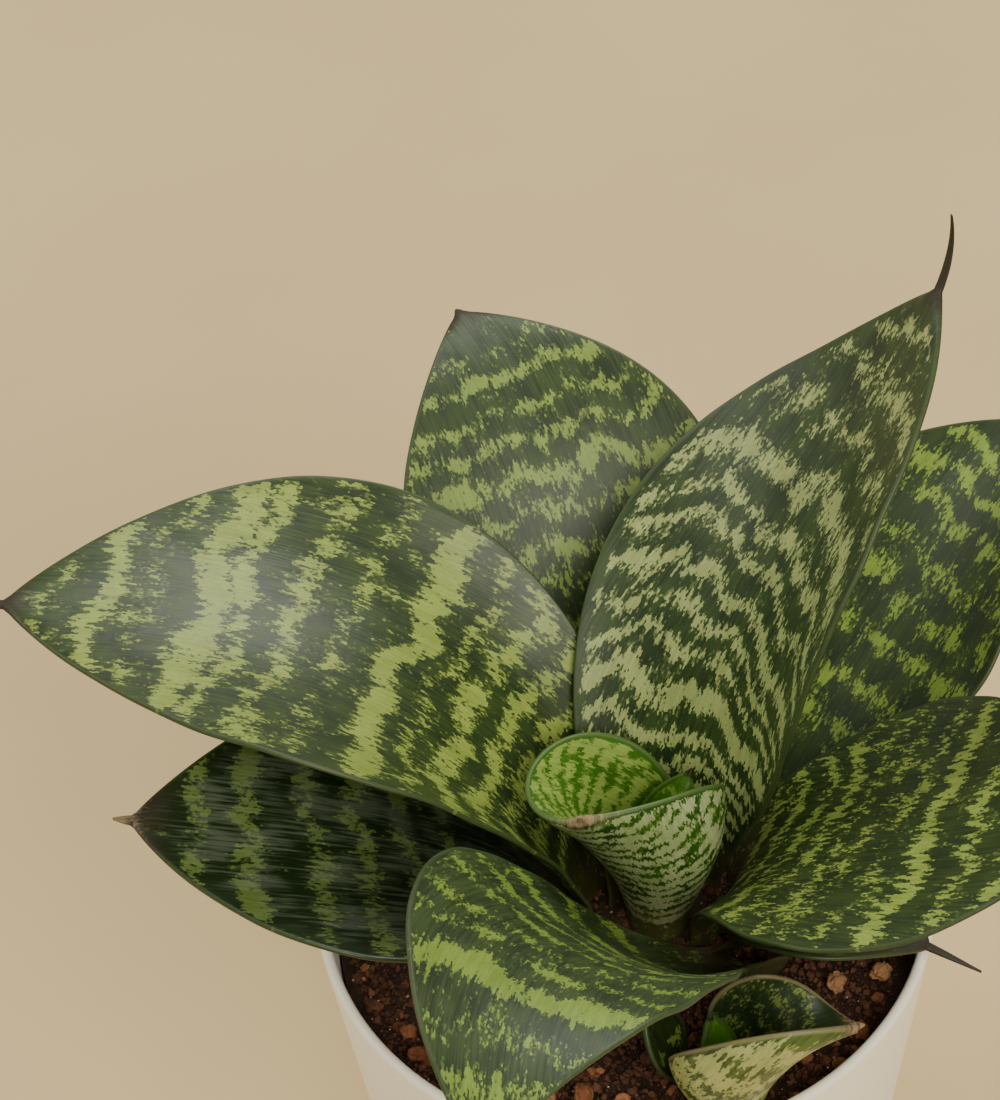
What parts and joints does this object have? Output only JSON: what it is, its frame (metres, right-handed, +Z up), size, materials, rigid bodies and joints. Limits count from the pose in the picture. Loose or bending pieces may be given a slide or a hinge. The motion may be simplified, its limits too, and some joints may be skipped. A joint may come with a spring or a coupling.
{
  "type": "potted snake plant",
  "caption": "Dwarf bird's-nest snake plant: a rosette of banded pointed leaves and a small offset in a tapered round pot of soil.",
  "frame": {"origin": "middle of the pot's flat underside, on the surface it stands on", "axes": "+Z up along the pot's axis; -Y towards the plant's front, where the offset grows; +X to the right as seen from the front"},
  "size_m": [0.1899, 0.1848, 0.2156],
  "materials": {
    "pot": "satin",
    "soil": "matte",
    "stem": "matte",
    "leaf": "satin",
    "young_leaf": "satin",
    "pale_leaf": "satin",
    "granule": "matte",
    "bark": "matte"
  },
  "bodies": {
    "root": {"pot": "pot", "soil": "soil", "stem": "stem", "offset_stem": "stem", "leaf_heart": "young_leaf", "leaf_bud": "young_leaf", "leaf_upright": "leaf", "leaf_left": "leaf", "leaf_right": "leaf", "leaf_back": "leaf", "leaf_back_right": "leaf", "leaf_lower_left": "leaf", "leaf_front": "leaf", "leaf_lower_right": "leaf", "offset_leaf_right": "pale_leaf", "offset_leaf_left": "leaf", "offset_bud": "young_leaf", "granule_01": "granule", "granule_02": "granule", "granule_03": "granule", "granule_04": "granule", "granule_05": "granule", "granule_06": "granule", "granule_07": "granule", "granule_08": "granule", "granule_09": "granule", "granule_10": "granule", "granule_11": "granule", "granule_12": "granule", "bark_sliver": "bark"}
  },
  "joints": []
}
